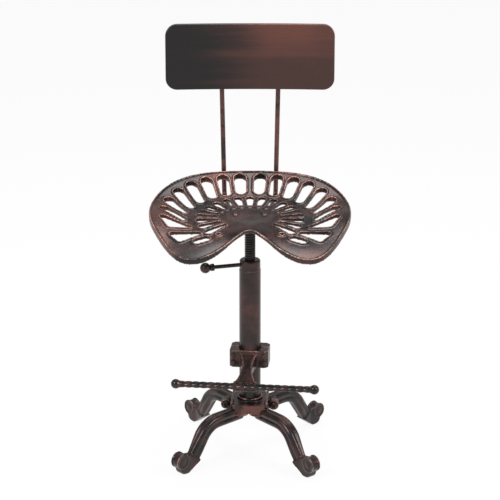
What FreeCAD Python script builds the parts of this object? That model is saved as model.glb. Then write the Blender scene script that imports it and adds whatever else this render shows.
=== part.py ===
import FreeCAD, Part
import math
import os

import Sketcher
from FreeCAD import Placement, Rotation, Vector

# Adjustable stool with a pierced tractor seat. Millimetres and degrees.
# +Z is up, the sitter faces -Y, and the origin is on the floor under the column's axis.
SIZES = {
    # Seat pan, a pierced casting with a dished face
    "plate_height": 518.0,
    "seat_width": 410.0,
    "seat_back_reach": 158.0,
    "seat_front_reach": 192.0,
    "notch_reach": 109.0,
    "plate_half_width": 45.0,
    "dish_power": 1.75,
    "side_rise": 13.0,
    "back_rise_start": 16.0,
    "back_rise": 46.0,
    "lobe_drop": 37.0,
    "pommel_rise": 8.0,
    "pommel_width": 24.0,
    "pan_wall": 5.0,
    "pan_rim_wall": 9.0,
    "rim_wall_start": 0.72,
    "rim_wall_full": 0.94,
    "face_margin": 12.0,
    "slope_step": 0.5,
    "back_squareness": 2.2,
    "front_squareness": 3.0,
    # Slots of the seat pan: both rows fan out, parted by an oval ring
    "outer_fan_forward": 190.0,
    "outer_first_angle": 3.7,
    "outer_pitch": 6.25,
    "outer_slots_each_side": 7,
    "outer_rib": 10.5,
    "rim_back_band": 0.05,
    "rim_side_band": 0.12,
    "ring_forward": 30.0,
    "ring_half_width": 131.0,
    "ring_half_depth": 126.0,
    "ring_side_band": 21.0,
    "ring_back_band": 10.0,
    "inner_fan_forward": 20.0,
    "inner_pitch": 14.6,
    "inner_slots_each_side": 9,
    "inner_rib": 9.5,
    "centre_radius": 64.0,
    "front_corner_radius": 6.0,
    "front_oval_radius": 8.5,
    "front_dot_radius": 4.0,
    # Seat fixing
    "seat_bolt_spread": 59.0,
    "seat_bolt_diameter": 8.0,
    "seat_bolt_head_across": 13.0,
    "seat_bolt_head": 4.5,
    "bolt_dome_foot": 1.07,
    "bolt_dome_top": 0.7,
    "bolt_hole_gap": 0.3,
    "pan_seat_gap": 0.15,
    "bracket_width": 92.0,
    "bracket_front": 22.0,
    "bracket_back": 78.0,
    "bracket_plate": 5.0,
    "bracket_corner": 12.0,
    "flange_width": 84.0,
    "flange_depth": 44.0,
    "flange_plate": 6.0,
    "nut_height": 6.5,
    # Back rest
    "back_rod_diameter": 10.0,
    "rod_foot_spread": 66.0,
    "rod_heel_spread": 108.0,
    "rod_top_spread": 122.0,
    "rod_heel_back": 165.0,
    "rod_bend": 20.0,
    "back_lean": 2.6,
    "panel_width": 350.0,
    "panel_tall": 136.5,
    "panel_bottom_height": 740.5,
    "panel_corner": 24.0,
    "panel_sheet": 2.0,
    "panel_edge": 12.0,
    "panel_bow": 10.0,
    "panel_edge_round": 1.6,
    "rod_panel_gap": 0.3,
    "panel_screw_diameter": 6.0,
    "panel_screw_pitch": 80.0,
    "panel_boss_diameter": 16.0,
    "panel_screw_head": 3.5,
    "panel_screw_taper": 0.7,
    "boss_end_wall": 2.0,
    "screw_end_gap": 1.0,
    # Lifting screw
    "screw_diameter": 22.4,
    "screw_bottom_height": 272.0,
    "screw_bevel": 1.5,
    "journal_diameter": 14.0,
    "journal_length": 16.0,
    "running_gap": 0.08,
    "face_gap": 0.2,
    "end_washer_diameter": 26.0,
    "end_washer": 2.5,
    "end_screw_diameter": 8.0,
    "end_screw_length": 22.0,
    "end_screw_head_diameter": 13.0,
    "end_screw_head": 5.0,
    "end_screw_bevel": 1.0,
    # Column and its threaded collar
    "tube_diameter": 44.5,
    "tube_wall": 3.0,
    "tube_top_height": 400.0,
    "tube_fit_gap": 0.05,
    "collar_diameter": 43.0,
    "collar_tall": 21.5,
    "collar_round": 4.0,
    "collar_spigot": 28.0,
    "plug_tall": 20.0,
    # Lock lever
    "lever_angle": 196.0,
    "lever_rise": 11.0,
    "lever_diameter": 8.0,
    "lever_reach": 95.0,
    "lever_bevel": 1.0,
    "lever_end_gap": 0.5,
    "knob_depth": 3.0,
    "knob_diameter": 22.0,
    "knob_neck_diameter": 10.8,
    "ferrule_diameter": 15.0,
    "ferrule_length": 7.0,
    "pad_length": 5.0,
    "pad_gap": 0.3,
    # Foot rest
    "rest_turn": -6.5,
    "clamp_middle_height": 210.5,
    "clamp_tall": 37.0,
    "clamp_width": 81.0,
    "clamp_depth": 54.0,
    "clamp_bore_gap": 0.3,
    "clamp_split": 3.0,
    "clamp_corner": 7.0,
    "clamp_bolt_diameter": 6.0,
    "clamp_bolt_spread": 66.0,
    "clamp_bolt_pitch": 15.0,
    "clamp_bolt_head_across": 10.0,
    "clamp_bolt_head": 4.0,
    "arm_sink": 2.0,
    "arm_root_drop": 1.5,
    "arm_root_width": 37.0,
    "arm_waist_reach": 57.0,
    "arm_waist_drop": 15.0,
    "arm_waist_width": 22.0,
    "arm_end_width": 48.0,
    "arm_root_tall": 32.0,
    "arm_waist_tall": 20.0,
    "arm_end_tall": 16.0,
    "arm_channel": 4.0,
    "arm_flange": 4.0,
    "bar_reach": 95.0,
    "bar_height": 177.0,
    "bar_diameter": 14.0,
    "bar_length": 270.0,
    "bar_boss_diameter": 21.0,
    "bar_ball_diameter": 20.0,
    "bar_neck_diameter": 16.0,
    "bar_ball_spread": 286.0,
    # Four-legged base, two castings bolted together
    "base_turn": -3.5,
    "casting_top_height": 105.0,
    "casting_bottom_height": 88.0,
    "hub_width": 76.0,
    "hub_depth": 76.0,
    "casting_gap": 0.6,
    "lid_wall": 9.0,
    "apron_wall": 6.0,
    "apron_proud": 3.0,
    "apron_lobe_reach": 18.0,
    "apron_peak_rise": 8.0,
    "apron_corner_rise": 5.0,
    "leg_angle": 47.0,
    "leg_reed_radius": 7.5,
    "leg_reed_across": 11.0,
    "leg_reed_deep": 12.0,
    "leg_root": 30.0,
    "leg_shoulder": 93.5,
    "leg_shoulder_height": 90.5,
    "leg_shoulder_bend": 54.0,
    "leg_slope": 56.0,
    "foot_bend": 22.0,
    "foot_height": 14.5,
    "foot_level_run": 3.0,
    "foot_width": 30.0,
    "cuff_length": 8.0,
    "cuff_lip": 1.2,
    "sole_length": 19.0,
    "toe_radius": 13.0,
    "toe_reach": 190.0,
    "scroll_radius": 15.5,
    "scroll_reach": 197.0,
    "scroll_height": 30.0,
    "scroll_turn": 205.0,
    "scroll_eye_radius": 6.0,
    "scroll_eye_proud": 1.8,
    "ear_reach": 50.0,
    "ear_radius": 11.0,
    "ear_wall": 9.0,
    "ear_height": 101.0,
    "base_bolt_diameter": 8.0,
    "base_bolt_head_across": 13.0,
    "base_bolt_head": 5.5,
    "washer_thick": 1.6,
    "bolt_end": 2.0,
    "base_washer_diameter": 17.0,
    # Socket plate and its centre bolt
    "socket_plate": 8.0,
    "socket_plate_width": 77.0,
    "socket_ring_diameter": 52.0,
    "socket_ring_tall": 8.0,
    "socket_bead": 5.0,
    "tie_plate": 4.0,
    "tie_plate_width": 62.0,
    "tie_plate_depth": 50.0,
    "centre_bolt_diameter": 12.0,
    "centre_bolt_head_across": 19.0,
    "centre_bolt_head": 7.5,
    "centre_washer_diameter": 24.0,
    "centre_hole_gap": 0.5,
}

doc = FreeCAD.newDocument("tractor_seat_stool")
sheet = doc.addObject("Spreadsheet::Sheet", "Sizes")
for row, (alias, value) in enumerate(SIZES.items(), start=1):
    sheet.set(f"A{row}", alias)
    sheet.set(f"B{row}", str(value))
    sheet.setAlias(f"B{row}", alias)
doc.recompute()


class Size(float):
    """A number that keeps the sheet expression it was worked out from."""

    def __new__(cls, number, text=None):
        made = super().__new__(cls, number)
        made.text = text or repr(float(number))
        return made

    def __add__(self, other):
        return Size(float(self) + float(other), f"({self.text} + {Size.of(other).text})")

    def __radd__(self, other):
        return Size.of(other) + self

    def __sub__(self, other):
        return Size(float(self) - float(other), f"({self.text} - {Size.of(other).text})")

    def __rsub__(self, other):
        return Size.of(other) - self

    def __mul__(self, other):
        return Size(float(self) * float(other), f"({self.text} * {Size.of(other).text})")

    __rmul__ = __mul__

    def __truediv__(self, other):
        return Size(float(self) / float(other), f"({self.text} / {Size.of(other).text})")

    def __neg__(self):
        return self * -1

    @staticmethod
    def of(number):
        return number if isinstance(number, Size) else Size(number)


class Sizes:
    """The sheet's values by name, each read back from its cell."""

    def __getattr__(self, alias):
        return Size(getattr(sheet, alias), f"Sizes.{alias}")


s = Sizes()
X_AXIS = Vector(1, 0, 0)
Y_AXIS = Vector(0, 1, 0)
Z_AXIS = Vector(0, 0, 1)
pieces = {}


def bind(owner, path, size):
    """Tie one property of an object to the sheet."""
    size = Size.of(size)
    if "Sizes." in size.text:
        owner.setExpression(path, size.text)


def new_body(name):
    """An empty body that becomes the sub-part of this name."""
    body = doc.addObject("PartDesign::Body", name)
    body.Label = name
    pieces[name] = body
    return body


def place(body, x=0, y=0, z=0, turn=0, axis=Z_AXIS):
    """Put a body where it sits in the stool, turned about an axis of its own origin."""
    body.Placement = Placement(Vector(x, y, z), Rotation(axis, turn))
    bind(body, "Placement.Base.x", x)
    bind(body, "Placement.Base.y", y)
    bind(body, "Placement.Base.z", z)


def new_sketch(body, name, plane="XY_Plane", level=0):
    """A sketch on one of the body's origin planes, moved along the plane's normal."""
    sketch = body.newObject("Sketcher::SketchObject", f"{body.Label}_{name}")
    origin_plane = next(part for part in body.Origin.OriginFeatures if part.Role == plane)
    sketch.AttachmentSupport = [(origin_plane, "")]
    sketch.MapMode = "FlatFace"
    sketch.AttachmentOffset = Placement(Vector(0, 0, level), Rotation())
    bind(sketch, "AttachmentOffset.Base.z", level)
    return sketch


def hold(sketch, kind, *where):
    """Add a constraint whose last entry is its value, tied to the sheet."""
    value = Size.of(where[-1])
    number = sketch.addConstraint(Sketcher.Constraint(kind, *where[:-1], float(value)))
    if "Sizes." in value.text:
        sketch.setExpression(f"Constraints[{number}]", value.text)


def hold_point(sketch, line, end, across, up):
    """Fix one end of an edge by its distances from the sketch's origin."""
    hold(sketch, "DistanceX", -1, 1, line, end, across)
    hold(sketch, "DistanceY", -1, 1, line, end, up)


def draw_outline(sketch, corners):
    """Straight edges through the corners and back to the first."""
    first = sketch.GeometryCount
    count = len(corners)
    for index, (across, up) in enumerate(corners):
        next_across, next_up = corners[(index + 1) % count]
        sketch.addGeometry(Part.LineSegment(Vector(across, up, 0), Vector(next_across, next_up, 0)))
    for index, (across, up) in enumerate(corners):
        after = first + (index + 1) % count
        sketch.addConstraint(Sketcher.Constraint("Coincident", first + index, 2, after, 1))
        hold_point(sketch, first + index, 1, across, up)


def draw_box(sketch, left, right, low, high):
    """A rectangle between two distances across and two up."""
    draw_outline(sketch, [(left, low), (right, low), (right, high), (left, high)])


def draw_circle(sketch, across, up, radius):
    """A full circle."""
    centre = Vector(across, up, 0)
    circle = sketch.addGeometry(Part.Circle(centre, Vector(0, 0, 1), radius))
    hold_point(sketch, circle, 3, across, up)
    hold(sketch, "Radius", circle, radius)


def pad(body, sketch, length, both_ways=False, backwards=False):
    """Extrude a sketch into the body."""
    feature = body.newObject("PartDesign::Pad", f"{sketch.Name}_pad")
    feature.Profile = sketch
    feature.Length = float(length)
    feature.Midplane = both_ways
    feature.Reversed = backwards
    bind(feature, "Length", length)
    sketch.Visibility = False
    return feature


def pocket(body, sketch, length=None, both_ways=False, backwards=False):
    """Cut a sketch out of the body, by a depth or right through."""
    feature = body.newObject("PartDesign::Pocket", f"{sketch.Name}_pocket")
    feature.Profile = sketch
    feature.Midplane = both_ways
    feature.Reversed = backwards
    if length is None:
        feature.Type = "ThroughAll"
    else:
        feature.Length = float(length)
        bind(feature, "Length", length)
    return feature


def turned(name, corners):
    """A lathe-turned body: corners are (radius, height) pairs round half its section."""
    body = new_body(name)
    section = new_sketch(body, "section", "XZ_Plane")
    draw_outline(section, corners)
    turning = body.newObject("PartDesign::Revolution", f"{name}_turning")
    turning.Profile = section
    turning.ReferenceAxis = (section, ["V_Axis"])
    turning.Angle = 360.0
    return body


def soften(body, radius, wanted, kind="Fillet"):
    """Round or bevel those edges of the body so far that pass a test of their centre."""
    doc.recompute()
    base = body.Tip
    names = [f"Edge{number}" for number, edge in enumerate(base.Shape.Edges, start=1) if wanted(edge)]
    feature = body.newObject(f"PartDesign::{kind}", f"{body.Label}_{kind.lower()}")
    feature.Base = (base, names)
    if kind == "Fillet":
        feature.Radius = float(radius)
        bind(feature, "Radius", radius)
    else:
        feature.Size = float(radius)
        bind(feature, "Size", radius)
    return feature


def new_piece(name, shape, placement=None):
    """A sub-part whose shape comes from Part's own functions."""
    piece = doc.addObject("Part::Feature", name)
    piece.Label = name
    piece.Shape = shape
    if placement:
        piece.Placement = placement
    pieces[name] = piece
    return piece


def base_placement():
    """The base stands a little turned under the seat."""
    return Placement(Vector(), Rotation(Z_AXIS, s.base_turn))


def rest_placement():
    """The foot rest is clamped a little turned on the column."""
    return Placement(Vector(), Rotation(Z_AXIS, s.rest_turn))


# Seat pan: a dished casting with two rows of slots between cast ribs.

def ease(share):
    """Smooth step from 0 to 1."""
    share = min(max(share, 0.0), 1.0)
    return share * share * (3 - 2 * share)


def dish_share(x, y):
    """0 at the centre of the seat and 1 along its rounded plan, without the notch."""
    reach = s.seat_back_reach if y > 0 else s.seat_front_reach
    power = s.back_squareness if y > 0 else s.front_squareness
    return (abs(2 * x / s.seat_width) ** power + abs(y / reach) ** power) ** (1 / power)


def rim_rise(y):
    """Height of the rim over the centre plate, seen from the side."""
    back = ease((y - s.back_rise_start) / (s.seat_back_reach - s.back_rise_start))
    front = ease(-y / s.seat_front_reach)
    return s.side_rise + (s.back_rise - s.side_rise) * back - (s.side_rise + s.lobe_drop) * front


def pan_top(x, y):
    """Height of the seat's upper face."""
    share = max(dish_share(x, y), 1e-6)
    flat = 2 * s.plate_half_width / s.seat_width
    dish = rim_rise(y / share) * max((share - flat) / (1 - flat), 0.0) ** s.dish_power
    pommel = s.pommel_rise * math.exp(-(x / s.pommel_width) ** 2) * ease(-y / s.notch_reach)
    return s.plate_height + dish + pommel


def pan_thickness(x, y):
    """The casting thickens towards its rim."""
    share = (dish_share(x, y) - s.rim_wall_start) / (s.rim_wall_full - s.rim_wall_start)
    return s.pan_wall + (s.pan_rim_wall - s.pan_wall) * ease(share)


def pan_bottom(x, y):
    """Height of the seat's lower face, one wall under the upper one, square to the slope."""
    step = s.slope_step
    slope_x = (pan_top(x + step, y) - pan_top(x - step, y)) / (2 * step)
    slope_y = (pan_top(x, y + step) - pan_top(x, y - step)) / (2 * step)
    return pan_top(x, y) - pan_thickness(x, y) * math.sqrt(1 + slope_x ** 2 + slope_y ** 2)


def height_face(height):
    """A smooth face over a rectangle a little larger than the seat, by a height formula."""
    columns = 16
    lines = [index / columns * 2 - 1 for index in range(columns + 1)]
    half_width = s.seat_width / 2 + s.face_margin
    middle = (s.seat_back_reach - s.seat_front_reach) / 2
    half_depth = (s.seat_back_reach + s.seat_front_reach) / 2 + s.face_margin
    grid = []
    for across in lines:
        x = across * half_width
        grid.append([Vector(x, middle + along * half_depth, height(x, middle + along * half_depth))
                     for along in lines])
    surface = Part.BSplineSurface()
    surface.interpolate(grid)
    return surface.toShape()


def dish_slab():
    """The solid between the seat's two faces, before its outline and slots are cut."""
    top = height_face(pan_top)
    bottom = height_face(pan_bottom)
    sides = [Part.makeRuledSurface(upper, lower) for upper, lower in zip(top.Edges, bottom.Edges)]
    shell = Part.Shell([top, bottom] + sides)
    shell.sewShape()
    slab = Part.Solid(shell)
    if slab.Volume < 0:
        slab.reverse()
    return slab


def seat_outline():
    """Plan of the seat: rounded back, two lobes and the notch between them.

    Each point is a share of the half width and a share of the back or front reach.
    """
    power = s.back_squareness
    across_shares = (0, 0.3, 0.55, 0.75, 0.9, 0.98, 1)
    back_corners = [(share, (1 - share ** power) ** (1 / power)) for share in across_shares]
    front_corners = [(0.985, 0.27), (0.897, 0.516), (0.77, 0.78), (0.61, 0.94), (0.5, 0.953),
                     (0.39, 0.905), (0.26, 0.798), (0.13, 0.64)]
    half_width = s.seat_width / 2
    right = [Vector(x * half_width, y * s.seat_back_reach, 0) for x, y in back_corners]
    right += [Vector(x * half_width, -y * s.seat_front_reach, 0) for x, y in front_corners]
    notch = Vector(0, -s.notch_reach, 0)
    left = [Vector(-point.x, point.y, 0) for point in right[:0:-1]]
    curve = Part.BSplineCurve()
    curve.interpolate(right + [notch] + left, PeriodicFlag=True)
    runs = 8
    step = (curve.LastParameter - curve.FirstParameter) / runs
    starts = [curve.FirstParameter + step * number for number in range(runs)]
    return Part.Wire([curve.toShape(start, start + step) for start in starts])


def rounded_wire(circles):
    """The tight belt round two or more circles, each (centre, radius), listed anticlockwise."""
    tangents = []
    count = len(circles)
    for index in range(count):
        (start, start_radius), (end, end_radius) = circles[index], circles[(index + 1) % count]
        along = end - start
        tilt = math.asin((start_radius - end_radius) / along.Length)
        outward = Vector(along.y, -along.x, 0).normalize()
        normal = outward * math.cos(tilt) + Vector(along).normalize() * math.sin(tilt)
        tangents.append((start + normal * start_radius, end + normal * end_radius, normal))
    edges = []
    for index in range(count):
        arrive, normal_in = tangents[index - 1][1], tangents[index - 1][2]
        leave, normal_out = tangents[index][0], tangents[index][2]
        centre, radius = circles[index]
        turn = math.atan2(normal_out.y, normal_out.x) - math.atan2(normal_in.y, normal_in.x)
        half = (turn % (2 * math.pi)) / 2
        middle = centre + Rotation(Z_AXIS, math.degrees(half)).multVec(normal_in) * radius
        edges.append(Part.Arc(arrive, middle, leave).toShape())
        edges.append(Part.LineSegment(leave, tangents[index][1]).toShape())
    return Part.Wire(edges)


def fan_way(angle):
    """Direction in plan at an angle from the middle of the back."""
    return Vector(math.sin(math.radians(angle)), math.cos(math.radians(angle)), 0)


def reach_inside(centre, way, inside):
    """How far one can go from a centre before a test of the place fails."""
    near, far = 0.0, float(s.seat_width)
    for _ in range(40):
        reach = (near + far) / 2
        if inside(centre + way * reach):
            near = reach
        else:
            far = reach
    return near


def inside_rim(point):
    """Whether a place is clear of the solid band along the rim."""
    sideways = abs(2 * point.x / s.seat_width)
    band = s.rim_back_band + (s.rim_side_band - s.rim_back_band) * sideways ** 2
    return dish_share(point.x, point.y) < 1 - band


def inside_ring(point):
    """Whether a place is inside the ring's outer edge."""
    return math.hypot(point.x / s.ring_half_width, (point.y + s.ring_forward) / s.ring_half_depth) < 1


def inside_inner_row(point):
    """Whether a place is inside the ring's inner edge."""
    half_width = s.ring_half_width - s.ring_side_band
    half_depth = s.ring_half_depth - s.ring_back_band
    return math.hypot(point.x / half_width, (point.y + s.ring_forward) / half_depth) < 1


def ray_slot(centre, way, root, tip, pitch, rib):
    """A slot along a ray, widened outwards so that its neighbour leaves an even rib."""
    spread = math.sin(math.radians(pitch / 2))
    root_centre = (root - rib / 2) / (1 - spread)
    tip_centre = (tip + rib / 2) / (1 + spread)
    ends = [(centre + way * reach, reach * spread - rib / 2) for reach in (root_centre, tip_centre)]
    return rounded_wire(ends)


def outer_slot(number):
    """One slot between the ring and the rim."""
    centre = Vector(0, -s.outer_fan_forward, 0)
    way = fan_way(s.outer_first_angle + number * s.outer_pitch)
    root = reach_inside(centre, way, inside_ring)
    tip = reach_inside(centre, way, inside_rim)
    return ray_slot(centre, way, root, tip, s.outer_pitch, s.outer_rib)


def inner_slot(number):
    """One slot between the centre plate and the ring."""
    centre = Vector(0, -s.inner_fan_forward, 0)
    way = fan_way(number * s.inner_pitch)
    tip = reach_inside(centre, way, inside_inner_row)
    return ray_slot(centre, way, s.centre_radius, tip, s.inner_pitch, s.inner_rib)


def front_place(across, forward):
    """A place in front, as a share of the half width and of the front reach."""
    return Vector(across * s.seat_width / 2, -forward * s.seat_front_reach, 0)


def front_slots():
    """The right-hand openings before the fan: two rounded triangles, an oval and a dot."""
    radius = s.front_corner_radius
    fan_end = [(front_place(0.78, 0.33), radius), (front_place(0.858, 0.172), radius),
               (front_place(0.59, 0.36), radius / 2)]
    triangle = [(front_place(0.675, 0.6), radius), (front_place(0.755, 0.49), radius),
                (front_place(0.51, 0.505), radius)]
    oval = [(front_place(0.43, 0.62), s.front_oval_radius), (front_place(0.51, 0.65), s.front_oval_radius)]
    dot = Part.Wire(Part.makeCircle(s.front_dot_radius, front_place(0.31, 0.545)))
    return [rounded_wire(fan_end), rounded_wire(triangle), rounded_wire(oval), dot]


def seat_slots():
    """All the slots of the seat in plan."""
    right = [outer_slot(number) for number in range(int(s.outer_slots_each_side))]
    right += [inner_slot(number) for number in range(1, int(s.inner_slots_each_side) + 1)]
    right += front_slots()
    return right + [wire.mirror(Vector(), X_AXIS) for wire in right] + [inner_slot(0)]


def build_seat_pan():
    """Cut the dished slab to its outline, its slots and its two bolt holes."""
    bolt_hole = s.seat_bolt_diameter / 2 + s.bolt_hole_gap
    wires = [seat_outline()] + seat_slots()
    for side in (-1, 1):
        centre = Vector(side * s.seat_bolt_spread / 2, 0, 0)
        wires.append(Part.Wire(Part.makeCircle(bolt_hole, centre)))
    low = s.plate_height - 2 * s.lobe_drop - s.pan_rim_wall
    tall = 2 * s.lobe_drop + 2 * s.back_rise + s.pan_rim_wall
    plan = Part.Face(wires[0])
    plan = plan.cut(Part.makeCompound([Part.Face(wire) for wire in wires[1:]]))
    plan.translate(Vector(0, 0, low))
    prism = plan.extrude(Vector(0, 0, tall))
    new_piece("seat_pan", one_solid(prism.common(dish_slab())))


# Seat fixing: two bolts through the pan, the back bracket and the flange of the lifting screw.

def pan_underside():
    """Height of what bears on the flat underside of the pan's centre plate."""
    return s.plate_height - s.pan_wall - s.pan_seat_gap


def bracket_underside():
    """Height of the underside of the back bracket's plate."""
    return pan_underside() - s.bracket_plate


def flange_underside():
    """Height of the underside of the screw's flange."""
    return bracket_underside() - s.flange_plate


def hexagon_prism(across_flats, tall):
    """A hexagonal block standing on the XY plane."""
    corner = X_AXIS * (across_flats / math.sqrt(3))
    corners = [Rotation(Z_AXIS, 60 * step + 30).multVec(corner) for step in range(7)]
    return Part.Face(Part.makePolygon(corners)).extrude(Vector(0, 0, tall))


def hex_bolt(diameter, length, across_flats, head):
    """A bolt along Z: its head's underside at height 0 and its shank below."""
    shank = Part.makeCylinder(diameter / 2, length, Vector(0, 0, -length))
    block = hexagon_prism(across_flats, head)
    corner = across_flats / math.sqrt(3)
    dome = Part.makeCone(corner * s.bolt_dome_foot, corner * s.bolt_dome_top, head)
    return block.common(dome).fuse(shank)


def hex_nut(diameter, across_flats, tall, gap):
    """A nut along Z, standing on height 0."""
    return hexagon_prism(across_flats, tall).cut(Part.makeCylinder(diameter / 2 + gap, tall))


def washer(diameter, hole, thick):
    """A flat ring standing on height 0."""
    return Part.makeCylinder(diameter / 2, thick).cut(Part.makeCylinder(hole / 2, thick))


def one_solid(shape):
    """The only solid in a boolean's result."""
    if len(shape.Solids) != 1:
        raise ValueError(f"{len(shape.Solids)} solids where one was wanted")
    return shape.Solids[0]


def copies(shape, placements):
    """One solid repeated at several placements, kept as separate solids."""
    made = []
    for placement in placements:
        copy = shape.copy()
        copy.Placement = placement
        made.append(copy)
    return Part.makeCompound(made)


def upright(points):
    """Placements at these points, unturned."""
    return [Placement(point, Rotation()) for point in points]


def build_seat_fixing():
    """Bolts with their heads on the plate and nuts under the flange."""
    half = s.seat_bolt_spread / 2
    stack = s.pan_wall + 2 * s.pan_seat_gap + s.bracket_plate + s.flange_plate
    length = stack + s.washer_thick + s.nut_height + s.bolt_end
    bolt = hex_bolt(s.seat_bolt_diameter, length, s.seat_bolt_head_across, s.seat_bolt_head)
    ring = washer(s.base_washer_diameter, s.seat_bolt_diameter + s.bolt_hole_gap, s.washer_thick)
    nut = hex_nut(s.seat_bolt_diameter, s.seat_bolt_head_across, s.nut_height, s.tube_fit_gap)
    tops = [Vector(side * half, 0, s.plate_height + s.pan_seat_gap) for side in (-1, 1)]
    new_piece("seat_bolts", copies(bolt, upright(tops)))
    washer_level = flange_underside() - s.washer_thick
    new_piece("seat_washers", copies(ring, upright([Vector(top.x, 0, washer_level) for top in tops])))
    nut_level = washer_level - s.nut_height
    new_piece("seat_nuts", copies(nut, upright([Vector(top.x, 0, nut_level) for top in tops])))


def build_back_bracket():
    """Flat plate under the pan that carries the feet of the two back rods."""
    body = new_body("back_bracket")
    plan = new_sketch(body, "plan")
    draw_box(plan, -s.bracket_width / 2, s.bracket_width / 2, -s.bracket_front, s.bracket_back)
    pad(body, plan, s.bracket_plate)
    soften(body, s.bracket_corner, lambda edge: abs(edge.tangentAt(edge.FirstParameter).z) > 0.99)
    holes = new_sketch(body, "bolt_holes")
    for side in (-1, 1):
        draw_circle(holes, side * s.seat_bolt_spread / 2, 0, s.seat_bolt_diameter / 2 + s.bolt_hole_gap)
    pocket(body, holes, both_ways=True)
    place(body, z=bracket_underside())


def build_spindle_flange():
    """Flat plate welded round the top of the lifting screw."""
    body = new_body("spindle_flange")
    plan = new_sketch(body, "plan")
    draw_box(plan, -s.flange_width / 2, s.flange_width / 2, -s.flange_depth / 2, s.flange_depth / 2)
    pad(body, plan, s.flange_plate)
    soften(body, s.bracket_corner, lambda edge: abs(edge.tangentAt(edge.FirstParameter).z) > 0.99)
    holes = new_sketch(body, "holes")
    for side in (-1, 1):
        draw_circle(holes, side * s.seat_bolt_spread / 2, 0, s.seat_bolt_diameter / 2 + s.bolt_hole_gap)
    draw_circle(holes, 0, 0, s.screw_diameter / 2 + s.tube_fit_gap)
    pocket(body, holes, both_ways=True)
    place(body, z=flange_underside())


# Back rest: two bent rods under the seat that carry a curved pressed panel.

def rod_height_back(height):
    """How far back a rod's centre line is at a height above the seat."""
    foot = bracket_underside() - s.back_rod_diameter / 2
    return s.rod_heel_back + (height - foot) * math.tan(math.radians(s.back_lean))


def rod_top_height():
    """The rods end a little below the panel's upper screws' heads."""
    return s.panel_bottom_height + (s.panel_tall + s.panel_screw_pitch) / 2 + s.panel_boss_diameter / 2


def rod_points(side):
    """Foot, heel and top of one rod's centre line."""
    foot_height = bracket_underside() - s.back_rod_diameter / 2
    top_height = rod_top_height()
    foot = Vector(side * s.rod_foot_spread / 2, s.flange_depth / 2 + s.rod_bend / 4, foot_height)
    heel = Vector(side * s.rod_heel_spread / 2, s.rod_heel_back, foot_height)
    top = Vector(side * s.rod_top_spread / 2, rod_height_back(top_height), top_height)
    return foot, heel, top


def rod_at(side, height):
    """The rod's centre line at a height between its heel and its top."""
    foot, heel, top = rod_points(side)
    return heel + (top - heel) * ((height - heel.z) / (top.z - heel.z))


def bent_rod(side):
    """A round rod along its foot, one bend and its upright."""
    foot, heel, top = rod_points(side)
    to_foot = (foot - heel).normalize()
    to_top = (top - heel).normalize()
    half_turn = (math.pi - to_foot.getAngle(to_top)) / 2
    trim = s.rod_bend * math.tan(half_turn)
    start = heel + to_foot * trim
    end = heel + to_top * trim
    inward = (to_foot + to_top).normalize()
    middle = heel + inward * (s.rod_bend / math.cos(half_turn) - s.rod_bend)
    path = Part.Wire([Part.LineSegment(foot, start).toShape(), Part.Arc(start, middle, end).toShape(),
                      Part.LineSegment(end, top).toShape()])
    section = Part.Wire(Part.makeCircle(s.back_rod_diameter / 2, foot, -to_foot))
    return path.makePipeShell([section], True, False)


def panel_lean():
    """The panel's own tilt about X, parallel to the rods."""
    return Rotation(X_AXIS, -s.back_lean)


def panel_screw_heights():
    """Heights of the lower and the upper row of screws in the panel."""
    middle = s.panel_bottom_height + s.panel_tall / 2
    return [middle - s.panel_screw_pitch / 2, middle + s.panel_screw_pitch / 2]


def panel_setback():
    """Distance from a rod's centre line forward to the panel's front face."""
    return s.panel_edge + s.back_rod_diameter / 2 + s.rod_panel_gap


def panel_curve(offset):
    """A half cylinder's slab: the panel's bowed plan, this far behind its front face."""
    radius = (s.panel_width ** 2 / 4 + s.panel_bow ** 2) / (2 * s.panel_bow)
    return Part.makeCylinder(radius + offset, 3 * s.panel_tall, Vector(0, -radius, -s.panel_tall))


def rounded_block(width, tall, corner, front, back):
    """A block along Y whose front view is a rounded rectangle standing on height 0."""
    block = Part.makeBox(width, back - front, tall, Vector(-width / 2, front, 0))
    upright_edges = [edge for edge in block.Edges if abs(edge.tangentAt(edge.FirstParameter).y) > 0.99]
    return block.makeFillet(corner, upright_edges)


def panel_shape():
    """Pressed sheet, bowed round the sitter's back, with its edge turned to the rear."""
    reach = 2 * s.panel_bow + s.panel_edge
    outer = rounded_block(s.panel_width, s.panel_tall, s.panel_corner, -reach, reach)
    tray = outer.common(panel_curve(s.panel_edge)).cut(panel_curve(0))
    front_rim = [edge for edge in tray.Edges if on_panel_front(edge)]
    tray = tray.makeFillet(s.panel_edge_round, front_rim)
    wall = s.panel_sheet
    inner_width = s.panel_width - 2 * wall
    hollow = rounded_block(inner_width, s.panel_tall - 2 * wall, s.panel_corner - wall, -reach, reach)
    hollow.translate(Vector(0, 0, wall))
    tray = tray.cut(hollow.cut(panel_curve(wall)))
    centre = rod_at(1, s.panel_bottom_height)
    front = centre.y - panel_setback()
    tray.Placement = Placement(Vector(0, front, s.panel_bottom_height), panel_lean())
    return tray


def on_panel_front(edge):
    """Whether an edge lies on the bowed front face."""
    radius = (s.panel_width ** 2 / 4 + s.panel_bow ** 2) / (2 * s.panel_bow)
    middle = edge.valueAt((edge.FirstParameter + edge.LastParameter) / 2)
    ends = [vertex.Point for vertex in edge.Vertexes] + [middle]
    return all(abs(math.hypot(point.x, point.y + radius) - radius) < 0.01 for point in ends)


def panel_boss(centre, along, panel):
    """A boss welded behind the panel, with a blind hole for its screw."""
    start = centre - along * (s.back_rod_diameter / 2 + s.face_gap)
    boss = Part.makeCylinder(s.panel_boss_diameter / 2, 2 * s.panel_edge, start, -along)
    boss = min(boss.cut(panel).Solids, key=lambda solid: solid.CenterOfMass.distanceToPoint(start))
    bore = s.panel_screw_diameter / 2 + s.tube_fit_gap
    return boss.cut(Part.makeCylinder(bore, boss_bore_depth(), start, -along))


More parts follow.
